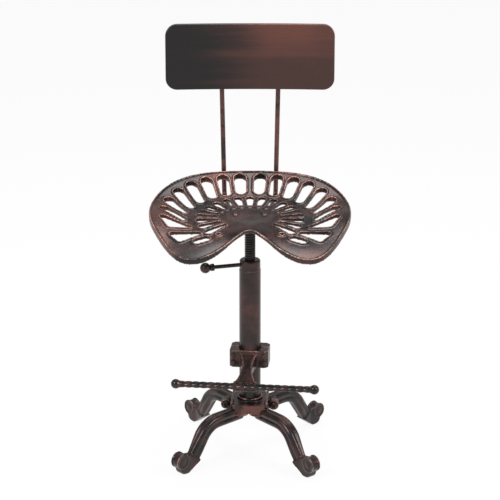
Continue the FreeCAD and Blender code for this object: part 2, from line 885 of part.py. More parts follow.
def boss_bore_depth():
    """Depth of the blind holes in the bosses behind the panel."""
    return s.panel_edge + s.rod_panel_gap - s.panel_sheet - s.face_gap - s.boss_end_wall


def panel_screw(centre, along):
    """A screw through the rod into its boss, with its head behind the rod."""
    seat = centre + along * (s.back_rod_diameter / 2)
    length = s.back_rod_diameter + s.face_gap + boss_bore_depth() - s.screw_end_gap
    shank = Part.makeCylinder(s.panel_screw_diameter / 2, length, seat, -along)
    foot = s.panel_screw_diameter
    return shank.fuse(Part.makeCone(foot, foot * s.panel_screw_taper, s.panel_screw_head, seat, along))


def build_back_rest():
    """The panel, the two rods with cross holes, and the screws and bosses that join them."""
    panel = panel_shape()
    new_piece("backrest_panel", panel)
    along = panel_lean().multVec(Y_AXIS)
    reach = 2 * s.back_rod_diameter
    hole = s.panel_screw_diameter / 2 + s.bolt_hole_gap
    bosses = []
    screws = []
    for side, name in ((-1, "back_rod_left"), (1, "back_rod_right")):
        rod = bent_rod(side)
        for height in panel_screw_heights():
            centre = rod_at(side, height)
            rod = rod.cut(Part.makeCylinder(hole, 2 * reach, centre - along * reach, along))
            bosses.append(panel_boss(centre, along, panel))
            screws.append(panel_screw(centre, along))
        new_piece(name, rod)
    new_piece("back_panel_bosses", Part.makeCompound(bosses))
    new_piece("back_panel_screws", Part.makeCompound(screws))


# Lifting screw: turns with the seat in the collar and hangs a guide bush on its lower end.

def build_spindle():
    """The screw with a plain journal for the bush and a tapped hole in its end."""
    radius = s.screw_diameter / 2
    journal = s.journal_diameter / 2
    top = bracket_underside() - s.screw_bottom_height
    bevel = s.screw_bevel
    tap = s.end_screw_diameter / 2 + s.tube_fit_gap
    journal_end = -s.journal_length
    tap_end = journal_end + s.end_screw_length - s.end_washer
    turned("spindle", [(0, tap_end), (tap, tap_end), (tap, journal_end), (journal, journal_end), (journal, 0),
                       (radius - bevel, 0), (radius, bevel), (radius, top), (0, top)])
    place(pieces["spindle"], z=s.screw_bottom_height)


def build_guide_bush():
    """Plastic bush that steadies the lower end of the screw in the tube."""
    outer = s.tube_diameter / 2 - s.tube_wall - s.running_gap
    inner = s.journal_diameter / 2 + s.running_gap
    turned("guide_bush", [(inner, s.face_gap), (outer, s.face_gap), (outer, s.journal_length - s.face_gap),
                          (inner, s.journal_length - s.face_gap)])
    place(pieces["guide_bush"], z=s.screw_bottom_height - s.journal_length)


def build_spindle_end():
    """Washer and screw that hold the bush on the journal."""
    journal_end = s.screw_bottom_height - s.journal_length
    hole = s.end_screw_diameter / 2 + s.tube_fit_gap
    turned("spindle_end_washer", [(hole, -s.end_washer), (s.end_washer_diameter / 2, -s.end_washer),
                                  (s.end_washer_diameter / 2, 0), (hole, 0)])
    place(pieces["spindle_end_washer"], z=journal_end)
    head = s.end_screw_head
    rim = s.end_screw_head_diameter / 2
    bevel = s.end_screw_bevel
    radius = s.end_screw_diameter / 2
    shank = s.end_screw_length - s.end_washer - s.screw_end_gap
    turned("spindle_end_screw", [(0, -head), (rim - bevel, -head), (rim, bevel - head), (rim, 0), (radius, 0),
                                 (radius, shank), (0, shank)])
    place(pieces["spindle_end_screw"], z=journal_end - s.end_washer)


# Column: a tube, the threaded collar in its top and the plug in its foot.

def socket_top():
    """Height of the socket plate's upper face, where the tube stands."""
    return s.casting_top_height + s.socket_plate


def build_column():
    """Steel tube between the socket plate and the collar."""
    outer = s.tube_diameter / 2
    inner = outer - s.tube_wall
    length = s.tube_top_height - socket_top()
    turned("column_tube", [(inner, 0), (outer, 0), (outer, length), (inner, length)])
    place(pieces["column_tube"], z=socket_top())
    plug = inner - s.tube_fit_gap
    bore = s.centre_bolt_diameter / 2 + s.tube_fit_gap
    turned("tube_plug", [(bore, 0), (plug, 0), (plug, s.plug_tall), (bore, s.plug_tall)])
    place(pieces["tube_plug"], z=socket_top())


def lever_height():
    """Height of the lock lever's axis, which crosses the collar."""
    return s.tube_top_height + s.lever_rise


def lever_way():
    """Direction in which the lock lever points."""
    return Vector(math.cos(math.radians(s.lever_angle)), math.sin(math.radians(s.lever_angle)), 0)


def build_collar_nut():
    """Threaded collar whose spigot sits in the tube, with a cross hole for the lock lever."""
    outer = s.collar_diameter / 2
    bore = s.screw_diameter / 2 + s.running_gap
    spigot = s.tube_diameter / 2 - s.tube_wall - s.tube_fit_gap
    body = turned("collar_nut", [(bore, -s.collar_spigot), (spigot, -s.collar_spigot), (spigot, 0),
                                 (outer, 0), (outer, s.collar_tall), (bore, s.collar_tall)])
    soften(body, s.collar_round, lambda edge: abs(edge.BoundBox.ZMin - s.collar_tall) < 0.01
           and edge.BoundBox.XMax > outer - 0.01)
    cross = new_sketch(body, "lever_hole", "YZ_Plane")
    draw_circle(cross, 0, s.lever_rise, s.lever_diameter / 2 + s.running_gap)
    pocket(body, cross)
    place(body, z=s.tube_top_height, turn=s.lever_angle + 180)


# Lock lever: a threaded rod through the collar that presses a soft pad on the screw.

def along_lever(name, corners):
    """A turned piece whose lathe axis lies along the lever, measured from the column's axis."""
    body = turned(name, corners)
    way = Rotation(Z_AXIS, lever_way())
    body.Placement = Placement(Vector(0, 0, lever_height()), way)
    bind(body, "Placement.Base.z", lever_height())
    return body


def build_lock_lever():
    """Pad, rod and knob, one after another along the lever's axis."""
    radius = s.lever_diameter / 2
    pad_start = s.screw_diameter / 2 + s.pad_gap
    pad_end = pad_start + s.pad_length
    along_lever("lock_pad", [(0, pad_start), (radius, pad_start), (radius, pad_end), (0, pad_end)])
    rod_start = pad_end + s.face_gap
    rod_end = s.lever_reach - s.knob_depth
    bevel = s.lever_bevel
    along_lever("lock_rod", [(0, rod_start), (radius - bevel, rod_start), (radius, rod_start + bevel),
                             (radius, rod_end), (0, rod_end)])
    build_knob(rod_end + s.lever_end_gap)


def build_knob(bore_end):
    """Ball knob with a ferrule, bored for the rod."""
    body = new_body("lock_knob")
    section = new_sketch(body, "section", "XZ_Plane")
    ball = s.knob_diameter / 2
    bore = s.lever_diameter / 2 + s.tube_fit_gap
    ferrule = s.ferrule_diameter / 2
    neck = s.knob_neck_diameter / 2
    ferrule_start = s.lever_reach - ball - s.ferrule_length
    ferrule_end = s.lever_reach - ball
    neck_height = s.lever_reach - math.sqrt(ball ** 2 - neck ** 2)
    top = Vector(0, s.lever_reach + ball, 0)
    corners = [(0, bore_end), (bore, bore_end), (bore, ferrule_start), (ferrule, ferrule_start),
               (ferrule, ferrule_end), (neck, ferrule_end), (neck, neck_height)]
    points = [Vector(across, up, 0) for across, up in corners]
    for start, end in zip(points, points[1:]):
        section.addGeometry(Part.LineSegment(start, end))
    middle = Vector(ball, s.lever_reach, 0)
    section.addGeometry(Part.Arc(points[-1], middle, top))
    section.addGeometry(Part.LineSegment(top, points[0]))
    turning = body.newObject("PartDesign::Revolution", "lock_knob_turning")
    turning.Profile = section
    turning.ReferenceAxis = (section, ["V_Axis"])
    turning.Angle = 360.0
    body.Placement = Placement(Vector(0, 0, lever_height()), Rotation(Z_AXIS, lever_way()))
    bind(body, "Placement.Base.z", lever_height())


# Foot rest: a two-piece clamp on the column with an arm that carries a bar.

def clamp_outline(body, name, side):
    """Plan of one clamp half: a block with its outer corners cut and a bay for the tube."""
    plan = new_sketch(body, name, level=-s.clamp_tall / 2)
    half_width = s.clamp_width / 2
    near = side * s.clamp_split / 2
    far = side * s.clamp_depth / 2
    corner = s.clamp_corner
    shoulder = side * (s.clamp_depth / 2 - corner)
    draw_outline(plan, [(-half_width, near), (-half_width, shoulder), (-half_width + corner, far),
                        (half_width - corner, far), (half_width, shoulder), (half_width, near)])
    pad(body, plan, s.clamp_tall)
    bay = new_sketch(body, f"{name}_bay", level=-s.clamp_tall)
    draw_circle(bay, 0, 0, s.tube_diameter / 2 + s.clamp_bore_gap)
    pocket(body, bay, 3 * s.clamp_tall, both_ways=True)


def clamp_bolt_places():
    """Across and height of the four clamp bolts, from the clamp's middle."""
    return [(side * s.clamp_bolt_spread / 2, level * s.clamp_bolt_pitch / 2)
            for side in (-1, 1) for level in (-1, 1)]


def clamp_holes(body):
    """Holes through a clamp half along Y."""
    holes = new_sketch(body, "bolt_holes", "XZ_Plane")
    for across, up in clamp_bolt_places():
        draw_circle(holes, across, up, s.clamp_bolt_diameter / 2 + s.bolt_hole_gap)
    pocket(body, holes, both_ways=True)


def arm_section(body, name, level, width, tall, height):
    """One rectangle of the arm's loft, this far forward of the column's axis."""
    section = new_sketch(body, name, "XZ_Plane", level)
    draw_box(section, -width / 2, width / 2, height - tall / 2, height + tall / 2)
    return section


def build_footrest_bracket():
    """Front clamp half, its channelled arm and the boss that holds the bar."""
    body = new_body("footrest_bracket")
    clamp_outline(body, "plan", -1)
    drop = s.bar_height - s.clamp_middle_height
    root_reach = s.clamp_depth / 2 - s.arm_sink
    stations = [("arm_root", root_reach, s.arm_root_width, s.arm_root_tall, -s.arm_root_drop),
                ("arm_waist", s.arm_waist_reach, s.arm_waist_width, s.arm_waist_tall, -s.arm_waist_drop),
                ("arm_end", s.bar_reach, s.arm_end_width, s.arm_end_tall, drop)]
    sections = [arm_section(body, name, level, width, tall, height)
                for name, level, width, tall, height in stations]
    loft = body.newObject("PartDesign::AdditiveLoft", "arm")
    loft.Profile = sections[0]
    loft.Sections = sections[1:]
    boss = new_sketch(body, "boss", "YZ_Plane")
    draw_circle(boss, -s.bar_reach, drop, s.bar_boss_diameter / 2)
    pad(body, boss, s.arm_end_width, both_ways=True)
    channel = [arm_section(body, f"{name}_channel", level, width - 2 * s.arm_flange, tall,
                           height + tall - s.arm_channel)
               for name, level, width, tall, height in stations]
    groove = body.newObject("PartDesign::SubtractiveLoft", "arm_channel")
    groove.Profile = channel[0]
    groove.Sections = channel[1:]
    bore = new_sketch(body, "bar_bore", "YZ_Plane")
    draw_circle(bore, -s.bar_reach, drop, s.bar_diameter / 2 + s.tube_fit_gap)
    pocket(body, bore, s.arm_end_width * 2, both_ways=True)
    clamp_holes(body)
    place(body, z=s.clamp_middle_height, turn=s.rest_turn)


def build_footrest_clamp():
    """Rear clamp half."""
    body = new_body("footrest_clamp")
    clamp_outline(body, "plan", 1)
    clamp_holes(body)
    place(body, z=s.clamp_middle_height, turn=s.rest_turn)


def build_footrest_bar():
    """Round bar through the boss, with a ball on each end."""
    middle = Vector(0, -s.bar_reach, s.bar_height)
    bar = Part.makeCylinder(s.bar_diameter / 2, s.bar_length, middle - X_AXIS * (s.bar_length / 2), X_AXIS)
    new_piece("footrest_bar", bar, rest_placement())
    reach = (s.bar_ball_spread - s.bar_length) / 2
    ball = Part.makeSphere(s.bar_ball_diameter / 2, X_AXIS * reach)
    neck = Part.makeCone(s.bar_neck_diameter / 2, s.bar_diameter / 2, reach, Vector(), X_AXIS)
    size = s.bar_ball_diameter
    behind = Part.makeBox(size, 2 * size, 2 * size, Vector(-size, -size, -size))
    end = one_solid(ball.fuse(neck).cut(behind))
    places = [Placement(middle + X_AXIS * (side * s.bar_length / 2), Rotation(Z_AXIS, 90 - side * 90))
              for side in (-1, 1)]
    new_piece("footrest_balls", copies(end, places), rest_placement())


def build_clamp_bolts():
    """Four bolts along Y with their heads on the front half and nuts on the rear one."""
    length = s.clamp_depth + s.clamp_bolt_head + s.bolt_end
    bolt = hex_bolt(s.clamp_bolt_diameter, length, s.clamp_bolt_head_across, s.clamp_bolt_head)
    nut = hex_nut(s.clamp_bolt_diameter, s.clamp_bolt_head_across, s.clamp_bolt_head, s.tube_fit_gap)
    half = s.clamp_depth / 2
    places = [Vector(across, 0, s.clamp_middle_height + up) for across, up in clamp_bolt_places()]
    fronts = [Placement(place - Y_AXIS * half, Rotation(X_AXIS, 90)) for place in places]
    backs = [Placement(place + Y_AXIS * half, Rotation(X_AXIS, -90)) for place in places]
    new_piece("footrest_bolts", copies(bolt, fronts), rest_placement())
    new_piece("footrest_nuts", copies(nut, backs), rest_placement())


# Base: a front and a rear casting, each with two scroll-footed legs, bolted at their ears.

def leg_points():
    """Corners and tangent points of a leg's centre line in its own plane: X outward and Z up."""
    slope = math.radians(s.leg_slope)
    shoulder = Vector(s.leg_shoulder, 0, s.leg_shoulder_height)
    bend = s.leg_shoulder_bend
    bend_end = shoulder + Vector(bend * math.sin(slope), 0, -bend * (1 - math.cos(slope)))
    bend_middle = shoulder + Vector(bend * math.sin(slope / 2), 0, -bend * (1 - math.cos(slope / 2)))
    foot = s.foot_bend
    foot_start_height = s.foot_height + foot * (1 - math.cos(slope))
    run = (bend_end.z - foot_start_height) / math.tan(slope)
    foot_start = Vector(bend_end.x + run, 0, foot_start_height)
    foot_stop = Vector(foot_start.x + foot * math.sin(slope), 0, s.foot_height)
    foot_middle = Vector(foot_stop.x - foot * math.sin(slope / 2), 0,
                         s.foot_height + foot * (1 - math.cos(slope / 2)))
    return shoulder, bend_middle, bend_end, foot_start, foot_middle, foot_stop


def leg_path():
    """Centre line of a leg: level out of the hub, down a slope and level again at the foot."""
    shoulder, bend_middle, bend_end, foot_start, foot_middle, foot_stop = leg_points()
    root = Vector(s.leg_root, 0, s.leg_shoulder_height)
    foot_end = foot_stop + X_AXIS * s.foot_level_run
    runs = [Part.LineSegment(root, shoulder), Part.Arc(shoulder, bend_middle, bend_end),
            Part.LineSegment(bend_end, foot_start), Part.Arc(foot_start, foot_middle, foot_stop),
            Part.LineSegment(foot_stop, foot_end)]
    return Part.Wire([run.toShape() for run in runs])


def reeded_section():
    """Four round reeds side by side: the leg's cross section, square to its root."""
    radius = s.leg_reed_radius
    across = s.leg_reed_across / 2
    deep = s.leg_reed_deep / 2
    side_groove = across + math.sqrt(radius ** 2 - deep ** 2)
    top_groove = deep + math.sqrt(radius ** 2 - across ** 2)
    grooves = [(side_groove, 0), (0, top_groove), (-side_groove, 0), (0, -top_groove)]
    centres = [(across, deep), (-across, deep), (-across, -deep), (across, -deep)]
    edges = []
    for index, (centre_y, centre_z) in enumerate(centres):
        start = grooves[index]
        end = grooves[(index + 1) % 4]
        centre = Vector(0, centre_y, centre_z)
        middle = centre + Vector(centre).normalize() * radius
        edges.append(Part.Arc(Vector(0, *start), middle, Vector(0, *end)).toShape())
    section = Part.Wire(edges)
    section.translate(Vector(s.leg_root, 0, s.leg_shoulder_height))
    return section


def foot_outline():
    """Side view of the foot: cuff round the leg, flat sole, round toe and the scroll above it."""
    _, _, bend_end, foot_start, _, foot_stop = leg_points()
    slope = math.radians(s.leg_slope)
    down = Vector(math.cos(slope), 0, -math.sin(slope))
    square = Vector(math.sin(slope), 0, math.cos(slope))
    half = s.leg_reed_deep / 2 + s.leg_reed_radius + s.cuff_lip
    cuff = foot_start - down * s.cuff_length
    cuff_top = cuff + square * half
    cuff_bottom = cuff - square * half
    toe = Vector(s.toe_reach, 0, s.toe_radius)
    scroll = Vector(s.scroll_reach, 0, s.scroll_height)
    apart = scroll - toe
    along = (s.toe_radius ** 2 - s.scroll_radius ** 2 + apart.Length ** 2) / (2 * apart.Length)
    out = math.sqrt(s.toe_radius ** 2 - along ** 2)
    lift = Vector(apart).normalize()
    crease = toe + lift * along + Vector(lift.z, 0, -lift.x) * out
    sole_front = Vector(s.toe_reach, 0, 0)
    sole_back = Vector(foot_stop.x - s.sole_length, 0, 0)
    toe_way = (crease - toe) + (sole_front - toe)
    toe_middle = toe + toe_way.normalize() * s.toe_radius
    scroll_end = scroll + Rotation(Y_AXIS, -s.scroll_turn).multVec(crease - scroll)
    scroll_middle = scroll + Rotation(Y_AXIS, -s.scroll_turn / 2).multVec(crease - scroll)
    runs = [Part.LineSegment(cuff_bottom, sole_back), Part.LineSegment(sole_back, sole_front),
            Part.Arc(sole_front, toe_middle, crease), Part.Arc(crease, scroll_middle, scroll_end),
            Part.LineSegment(scroll_end, cuff_top), Part.LineSegment(cuff_top, cuff_bottom)]
    return Part.Wire([run.toShape() for run in runs])


def leg_shape():
    """One leg in its own plane: reeded sweep, foot block and the scroll's eyes."""
    sweep = leg_path().makePipeShell([reeded_section()], True, False)
    half = s.foot_width / 2
    foot = Part.Face(foot_outline()).extrude(Y_AXIS * s.foot_width)
    foot.translate(Y_AXIS * -half)
    eye_start = Vector(s.scroll_reach, -half - s.scroll_eye_proud, s.scroll_height)
    eye = Part.makeCylinder(s.scroll_eye_radius, s.foot_width + 2 * s.scroll_eye_proud, eye_start, Y_AXIS)
    return sweep.fuse(foot).fuse(eye)


def apron_outline():
    """Front view of the hub's skirt: a flat top, two lobes below and a peak between them."""
    half = s.hub_width / 2
    top = s.casting_top_height
    low = s.casting_bottom_height
    peak = low + s.apron_peak_rise
    corner = low + s.apron_corner_rise
    lobe = s.apron_lobe_reach
    right = [Vector(0, 0, peak), Vector(lobe / 3, 0, low + s.apron_peak_rise / 4), Vector(lobe, 0, low),
             Vector((lobe + half) / 2, 0, low + s.apron_corner_rise / 3), Vector(half, 0, corner)]
    left = [Vector(-point.x, 0, point.z) for point in right]
    top_right = Vector(half, 0, top)
    top_left = Vector(-half, 0, top)
    runs = [Part.Arc(*right[0:3]), Part.Arc(*right[2:5]), Part.LineSegment(right[4], top_right),
            Part.LineSegment(top_right, top_left), Part.LineSegment(top_left, left[4]),
            Part.Arc(left[4], left[3], left[2]), Part.Arc(left[2], left[1], left[0])]
    return Part.Wire([run.toShape() for run in runs])


def ear_bolt_places():
    """The two ear bolts' places across the base."""
    return [side * s.ear_reach for side in (-1, 1)]


def casting_shape():
    """Front casting before it is turned with the base: lid, skirt, two ears and two legs."""
    half_width = s.hub_width / 2
    half_depth = s.hub_depth / 2
    split = s.casting_gap / 2
    lid_bottom = s.casting_top_height - s.lid_wall
    lid_corner = Vector(-half_width, -half_depth, lid_bottom)
    whole = Part.makeBox(s.hub_width, half_depth - split, s.lid_wall, lid_corner)
    leg = leg_shape()
    for angle in (180 + s.leg_angle, 360 - s.leg_angle):
        turned_leg = leg.copy()
        turned_leg.rotate(Vector(), Z_AXIS, angle)
        whole = whole.fuse(turned_leg)
    skirt = Part.Face(apron_outline()).extrude(Y_AXIS * s.apron_wall)
    skirt.translate(Vector(0, -half_depth - s.apron_proud, 0))
    whole = whole.fuse(skirt)
    for across in ear_bolt_places():
        ear = Part.makeCylinder(s.ear_radius, s.ear_wall, Vector(across, -split, s.ear_height), -Y_AXIS)
        web_start = min(across, math.copysign(half_width - s.ear_wall, across))
        web = Part.makeBox(s.ear_reach - half_width + s.ear_wall, s.ear_wall, s.ear_radius,
                           Vector(web_start, -split - s.ear_wall, s.casting_top_height - s.ear_radius))
        whole = whole.fuse(ear).fuse(web)
    hole = s.base_bolt_diameter / 2 + s.bolt_hole_gap
    bay_width = s.tie_plate_width + 2 * s.bolt_hole_gap
    bay_depth = s.tie_plate_depth + 2 * s.bolt_hole_gap
    bay_corner = Vector(-bay_width / 2, -bay_depth / 2, 0)
    cuts = [Part.makeCylinder(s.centre_bolt_diameter / 2 + s.centre_hole_gap, 2 * s.casting_top_height),
            Part.makeBox(bay_width, bay_depth, lid_bottom, bay_corner)]
    for across in ear_bolt_places():
        cuts.append(Part.makeCylinder(hole, half_depth, Vector(across, 0, s.ear_height), -Y_AXIS))
    return whole.cut(cuts).removeSplitter()


def build_castings():
    """The rear casting is the front one turned about the column."""
    casting = one_solid(casting_shape())
    new_piece("base_front_casting", casting, base_placement())
    new_piece("base_rear_casting", casting, Placement(Vector(), Rotation(Z_AXIS, s.base_turn + 180)))


def build_base_bolts():
    """Two bolts along Y through the ears, with washers and nuts behind."""
    face = s.casting_gap / 2 + s.ear_wall
    length = 2 * face + s.washer_thick + s.nut_height + s.bolt_end
    bolt = hex_bolt(s.base_bolt_diameter, length, s.base_bolt_head_across, s.base_bolt_head)
    ring = washer(s.base_washer_diameter, s.base_bolt_diameter + s.bolt_hole_gap, s.washer_thick)
    nut = hex_nut(s.base_bolt_diameter, s.base_bolt_head_across, s.nut_height, s.tube_fit_gap)
    rows = [("base_bolts", bolt, -face, 90), ("base_washers", ring, face, -90),
            ("base_nuts", nut, face + s.washer_thick, -90)]
    for name, shape, back, turn in rows:
        places = [Placement(Vector(across, back, s.ear_height), Rotation(X_AXIS, turn))
                  for across in ear_bolt_places()]
        new_piece(name, copies(shape, places), base_placement())


def build_column_socket():
    """Square plate with a ring for the tube and a raised bead along each side."""
    body = new_body("column_socket")
    half = s.socket_plate_width / 2
    plan = new_sketch(body, "plan")
    draw_box(plan, -half, half, -half, half)
    pad(body, plan, s.socket_plate)
    ring = new_sketch(body, "ring", level=s.socket_plate)
    draw_circle(ring, 0, 0, s.socket_ring_diameter / 2)
    draw_circle(ring, 0, 0, s.tube_diameter / 2 + s.tube_fit_gap)
    pad(body, ring, s.socket_ring_tall)
    beads = new_sketch(body, "beads", level=s.socket_plate)
    for side in (-1, 1):
        edge = side * (half - s.socket_bead)
        low, high = sorted((edge, edge + side * s.socket_bead), key=float)
        draw_box(beads, low, high, -half, half)
    pad(body, beads, s.socket_bead)
    hole = new_sketch(body, "bolt_hole")
    draw_circle(hole, 0, 0, s.centre_bolt_diameter / 2 + s.centre_hole_gap)
    pocket(body, hole, both_ways=True)
    place(body, z=s.casting_top_height, turn=s.base_turn)


def build_centre_bolt():
    """Tie plate, washer and bolt that pull the castings up under the socket plate."""
    lid_underside = s.casting_top_height - s.lid_wall
    body = new_body("hub_tie_plate")
    plan = new_sketch(body, "plan")
    half_width = s.tie_plate_width / 2
    half_depth = s.tie_plate_depth / 2
    draw_box(plan, -half_width, half_width, -half_depth, half_depth)
    draw_circle(plan, 0, 0, s.centre_bolt_diameter / 2 + s.centre_hole_gap)
    pad(body, plan, s.tie_plate)
    place(body, z=lid_underside - s.tie_plate, turn=s.base_turn)
    ring_level = lid_underside - s.tie_plate - s.washer_thick
    ring = washer(s.centre_washer_diameter, s.centre_bolt_diameter + s.centre_hole_gap, s.washer_thick)
    ring.translate(Vector(0, 0, ring_level))
    new_piece("centre_washer", ring)
    length = socket_top() + s.plug_tall - s.bolt_end - ring_level
    bolt = hex_bolt(s.centre_bolt_diameter, length, s.centre_bolt_head_across, s.centre_bolt_head)
    bolt.rotate(Vector(), X_AXIS, 180)
    bolt.translate(Vector(0, 0, ring_level))
    new_piece("centre_bolt", bolt)


build_seat_pan()
build_seat_fixing()
build_back_bracket()
build_spindle_flange()
build_back_rest()
build_spindle()
build_guide_bush()
build_spindle_end()
build_column()
build_collar_nut()
build_lock_lever()
build_footrest_bracket()
build_footrest_clamp()
build_footrest_bar()
build_clamp_bolts()
build_castings()
build_base_bolts()
build_column_socket()
build_centre_bolt()

doc.recompute()
problems = []
for name, piece in pieces.items():
    if piece.Shape.isNull() or not piece.Shape.isValid():
        problems.append(f"{name}: shape is not valid")
for item in doc.Objects:
    if "Invalid" in item.State or "Error" in item.State:
        problems.append(f"{item.Label}: {item.State}")
if problems:
    raise RuntimeError("; ".join(problems))
os.makedirs("parts", exist_ok=True)
for name, piece in pieces.items():
    piece.Shape.exportStep(f"parts/{name}.step")
    print(name, round(piece.Shape.Volume / 1000, 2), "cm3", len(piece.Shape.Solids), "solids")
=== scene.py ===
import math

import bpy
from mathutils import Matrix, Vector


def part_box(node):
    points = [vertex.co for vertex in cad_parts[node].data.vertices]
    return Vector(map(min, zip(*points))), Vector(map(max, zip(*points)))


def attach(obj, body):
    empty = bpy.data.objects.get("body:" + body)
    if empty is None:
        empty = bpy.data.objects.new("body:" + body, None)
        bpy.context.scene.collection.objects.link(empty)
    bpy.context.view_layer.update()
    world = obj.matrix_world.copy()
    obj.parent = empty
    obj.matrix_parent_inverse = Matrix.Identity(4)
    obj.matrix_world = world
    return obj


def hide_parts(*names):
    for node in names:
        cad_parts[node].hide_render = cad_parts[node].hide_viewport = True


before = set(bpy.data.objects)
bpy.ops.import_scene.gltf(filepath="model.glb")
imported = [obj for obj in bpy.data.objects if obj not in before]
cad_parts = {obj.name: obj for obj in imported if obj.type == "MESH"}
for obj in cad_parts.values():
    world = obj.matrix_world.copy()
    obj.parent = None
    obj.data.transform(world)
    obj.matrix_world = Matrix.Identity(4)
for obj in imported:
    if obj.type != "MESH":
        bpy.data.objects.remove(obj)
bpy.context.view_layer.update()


# Studio: a wide white floor, soft lamps above and beside, and the camera standing well back and
# looking down on the seat.

def select_only(thing):
    """Leaves one object selected and active."""
    bpy.ops.object.select_all(action="DESELECT")
    thing.select_set(True)
    bpy.context.view_layer.objects.active = thing


class Finish:
    """A material being mixed, and the nodes that make it."""

    def __init__(self, name):
        self.material = bpy.data.materials.new(name)
        self.material.use_nodes = True
        self.tree = self.material.node_tree
        self.shader = self.tree.nodes["Principled BSDF"]

    def node(self, kind, settings=None, sockets=None, output=0):
        """Adds a node, sets it up, fills its sockets and returns one of its outputs."""
        made = self.tree.nodes.new(kind)
        for name, value in (settings or {}).items():
            setattr(made, name, value)
        for name, value in (sockets or {}).items():
            self.fill(made.inputs[name], value)
        return Level(self, made.outputs[output])

    def fill(self, socket, value):
        """Links a level to a socket, or writes a plain value in it."""
        if isinstance(value, Level):
            self.tree.links.new(value.socket, socket)
        elif hasattr(value, "__len__") and len(value) == 3 and len(socket.default_value) == 4:
            socket.default_value = (*value, 1)
        else:
            socket.default_value = value

    def surface(self, sockets):
        """Fills the shader's own sockets."""
        for name, value in sockets.items():
            self.fill(self.shader.inputs[name], value)

    def blend(self, share, below, above):
        """One colour over another, by a share: inputs 6 and 7 and output 2 are the colours."""
        return self.node("ShaderNodeMix", {"data_type": "RGBA"},
                         {"Factor": share, 6: below, 7: above}, 2)

    def noise(self, size, detail=3, roughness=0.55):
        """Cloudy levels over the piece, with clouds of about this size in metres."""
        place = self.node("ShaderNodeTexCoord", output="Object")
        return self.node("ShaderNodeTexNoise", {}, {"Vector": place, "Scale": 1 / size,
                                                    "Detail": detail, "Roughness": roughness})

    def open_air(self, reach):
        """1 on open ground, less in corners that are narrower than the reach."""
        return self.node("ShaderNodeAmbientOcclusion", {"samples": 6}, {"Distance": reach}, "AO")

    def sharp_edge(self, reach, samples=6):
        """0 on even ground, more where the surface turns within the reach."""
        rounded = self.node("ShaderNodeBevel", {"samples": samples}, {"Radius": reach})
        facing = self.node("ShaderNodeNewGeometry", output="Normal")
        return 1 - self.node("ShaderNodeVectorMath", {"operation": "DOT_PRODUCT"},
                             {0: rounded, 1: facing}, "Value")

    def relief(self, height, strength, depth):
        """Fine bumps of a height, for the Normal socket."""
        return self.node("ShaderNodeBump", {},
                         {"Strength": strength, "Distance": depth, "Height": height})


class Level:
    """One output of a node, with the arithmetic that a finish needs."""

    def __init__(self, finish, socket):
        self.finish = finish
        self.socket = socket

    def maths(self, operation, first, second):
        return self.finish.node("ShaderNodeMath", {"operation": operation}, {0: first, 1: second})

    def __add__(self, other):
        return self.maths("ADD", self, other)

    def __radd__(self, other):
        return self.maths("ADD", other, self)

    def __sub__(self, other):
        return self.maths("SUBTRACT", self, other)

    def __rsub__(self, other):
        return self.maths("SUBTRACT", other, self)

    def __mul__(self, other):
        return self.maths("MULTIPLY", self, other)

    def __rmul__(self, other):
        return self.maths("MULTIPLY", other, self)

    def between(self, low, high):
        """0 at the low level and 1 at the high one, kept within them."""
        return self.finish.node("ShaderNodeMapRange", {"interpolation_type": "SMOOTHSTEP"},
                                {"Value": self, "From Min": low, "From Max": high})


floor_size, floor_tone, floor_glow = 60, 0.86, 0.92
bpy.ops.object.select_all(action="DESELECT")
bpy.ops.mesh.primitive_plane_add(size=floor_size, location=(0, 0, 0))
floor = bpy.context.object
floor.name = "studio_floor"
white = Finish("white_floor")
white.surface({"Base Color": (floor_tone, floor_tone, floor_tone), "Roughness": 0.9,
               "Specular IOR Level": 0.1})
camera_ray = white.node("ShaderNodeLightPath", output="Is Camera Ray")
glossy_ray = white.node("ShaderNodeLightPath", output="Is Glossy Ray")
glow = white.node("ShaderNodeEmission", {}, {"Color": (1, 1, 1), "Strength": 1.0})
seen = (camera_ray + glossy_ray) * floor_glow
painted = Level(white, white.shader.outputs[0])
lit = white.node("ShaderNodeMixShader", {}, {0: seen, 1: painted, 2: glow})
white.fill(white.tree.nodes["Material Output"].inputs["Surface"], lit)
floor.data.materials.append(white.material)

lights_share = 0.45
world = bpy.data.worlds.new("studio_air")
world.use_nodes = True
air = world.node_tree
sky = air.nodes["Background"]
sky.inputs["Color"].default_value = (1, 1, 1, 1)
sky_ray = air.nodes.new("ShaderNodeLightPath")
sky_level = air.nodes.new("ShaderNodeMapRange")
sky_level.inputs["To Min"].default_value = lights_share
air.links.new(sky_ray.outputs["Is Camera Ray"], sky_level.inputs["Value"])
air.links.new(sky_level.outputs[0], sky.inputs["Strength"])
bpy.context.scene.world = world


def soft_lamp(name, place, aim, width, power):
    """A square soft box at a place, turned to its aim."""
    bpy.ops.object.light_add(type="AREA", location=place)
    lamp = bpy.context.object
    lamp.name = name
    lamp.data.shape = "SQUARE"
    lamp.data.size = width
    lamp.data.energy = power
    lamp.rotation_euler = (Vector(aim) - Vector(place)).to_track_quat("-Z", "Y").to_euler()


soft_lamp("soft_box_left", place=(-1.9, -1.9, 2.3), aim=(0, 0, 0.5), width=1.3, power=62)
soft_lamp("soft_box_right", place=(2.2, -1.3, 1.9), aim=(0, 0, 0.5), width=1.2, power=40)
soft_lamp("soft_box_top", place=(0.2, 0.6, 2.9), aim=(0, 0, 0.45), width=1.6, power=48)

